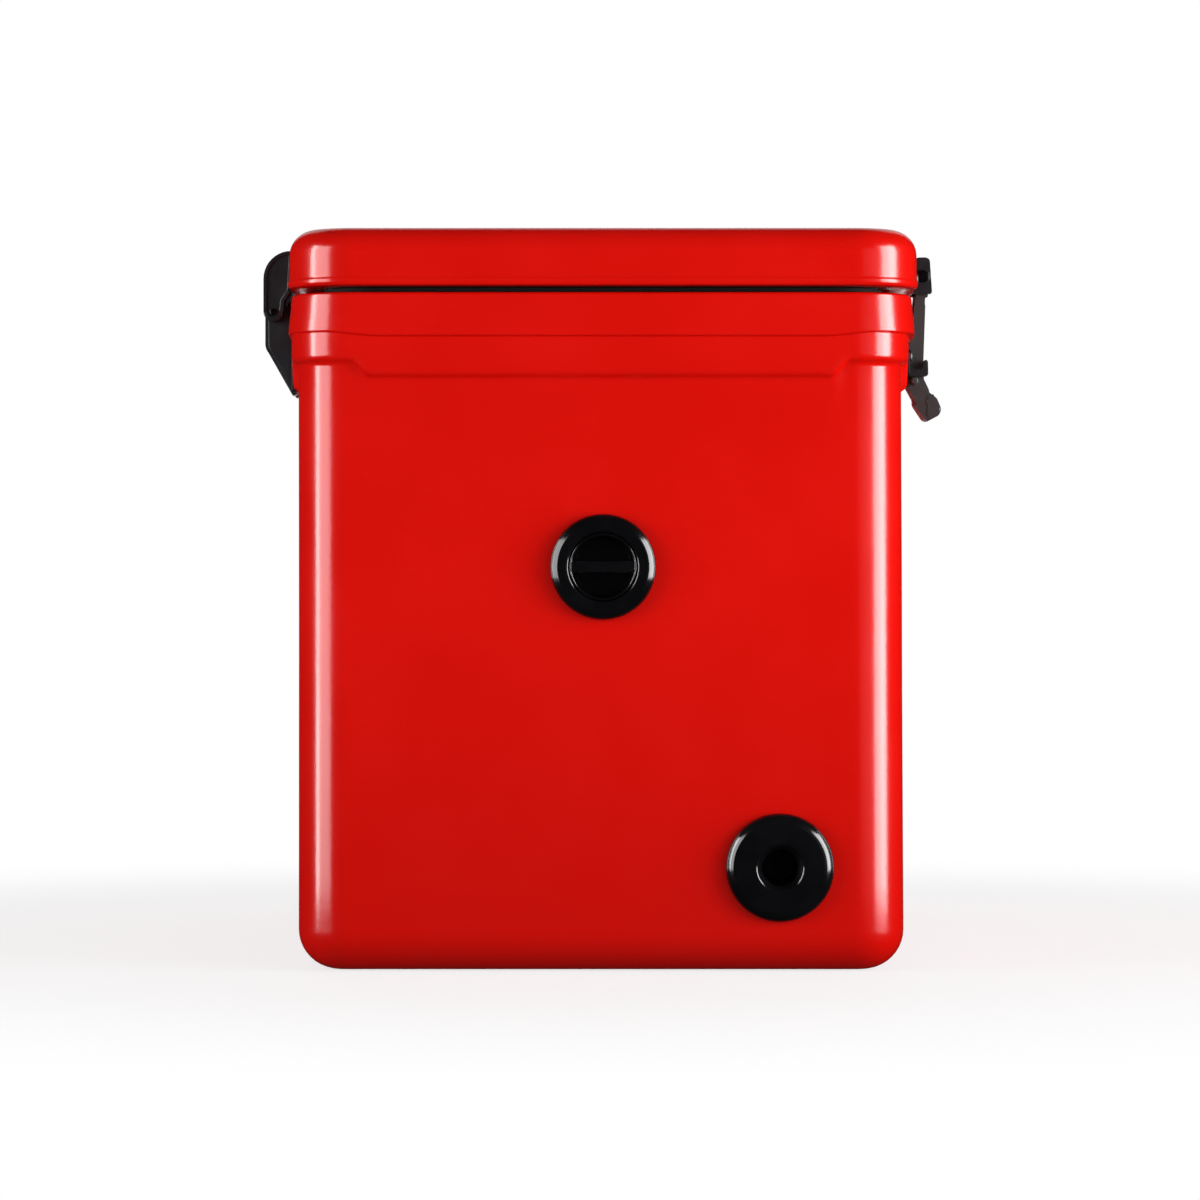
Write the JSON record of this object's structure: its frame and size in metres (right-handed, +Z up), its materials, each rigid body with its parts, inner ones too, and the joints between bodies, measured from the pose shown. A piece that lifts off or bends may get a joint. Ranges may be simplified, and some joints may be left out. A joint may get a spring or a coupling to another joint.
{
  "type": "hard cooler",
  "caption": "Foam-filled moulded ice chest with a hinged lid, rubber strap latches, and a drain and a screw-in port plug in one end wall.",
  "frame": {"origin": "middle of the flat base, on the floor", "axes": "+X along the lid, +Z up; latches on the -Y side, hinges on the +Y side, drain and port in the -X end"},
  "size_m": [0.72, 0.486, 0.52],
  "materials": {
    "red_shell": "gloss",
    "foam": "matte",
    "black_fitting": "satin",
    "hinge_plastic": "satin",
    "strap_rubber": "satin",
    "seal_rubber": "matte",
    "stainless": "satin"
  },
  "bodies": {
    "base": {"body_shell": "red_shell", "body_foam": "foam", "body_foam_plugs": "red_shell", "hinge_body_leaf_left": "hinge_plastic", "hinge_body_leaf_right": "hinge_plastic", "hinge_pin_left": "stainless", "hinge_pin_right": "stainless", "hinge_body_screws": "stainless", "latch_keeper_left": "hinge_plastic", "latch_keeper_right": "hinge_plastic", "keeper_screws": "stainless", "port_sleeve": "black_fitting", "port_seal": "seal_rubber", "port_nut": "black_fitting", "drain_sleeve": "black_fitting", "drain_seal": "seal_rubber", "drain_nut": "black_fitting"},
    "lid": {"lid_shell": "red_shell", "lid_foam": "foam", "lid_foam_plug": "red_shell", "lid_gasket": "seal_rubber", "hinge_lid_leaf_left": "hinge_plastic", "hinge_lid_leaf_right": "hinge_plastic", "hinge_lid_screws": "stainless", "latch_bracket_left": "hinge_plastic", "latch_bracket_right": "hinge_plastic", "bracket_screws": "stainless", "latch_pin_left": "stainless", "latch_pin_right": "stainless"},
    "strap_left": {"latch_strap_left": "strap_rubber", "strap_bulb_left": "strap_rubber"},
    "strap_right": {"latch_strap_right": "strap_rubber", "strap_bulb_right": "strap_rubber"},
    "plug_ring": {"port_plug_ring": "seal_rubber"},
    "plug": {"port_plug": "black_fitting"},
    "stopper": {"drain_stopper": "seal_rubber"}
  },
  "joints": [
    {"name": "lid_hinge", "type": "hinge", "parent": "base", "child": "lid", "pos_m": [0, 0.23565, 0.465], "axis": [-1, 0, 0], "range_deg": [0, 105]},
    {"name": "strap_left_swing", "type": "hinge", "parent": "lid", "child": "strap_left", "pos_m": [-0.232, -0.2295, 0.491], "axis": [-1, 0, 0], "range_deg": [0, 120], "deforming": ["strap_bulb_left"]},
    {"name": "strap_right_swing", "type": "hinge", "parent": "lid", "child": "strap_right", "pos_m": [0.232, -0.2295, 0.491], "axis": [-1, 0, 0], "range_deg": [0, 120], "deforming": ["strap_bulb_right"]},
    {"name": "plug_travel", "type": "slide", "parent": "base", "child": "plug_ring", "axis": [-1, 0, 0], "range_m": [0, 0.0121]},
    {"name": "plug_turn", "type": "hinge", "parent": "plug_ring", "child": "plug", "pos_m": [-0.3505, 0, 0.282], "axis": [-1, 0, 0], "range_deg": [0, 1080]},
    {"name": "stopper_pull", "type": "slide", "parent": "base", "child": "stopper", "axis": [1, 0, 0], "range_m": [0, 0.06]}
  ],
  "couplings": [
    {"joint": "plug_travel", "follows": "plug_turn", "m_per_rad": 0.00063662}
  ]
}
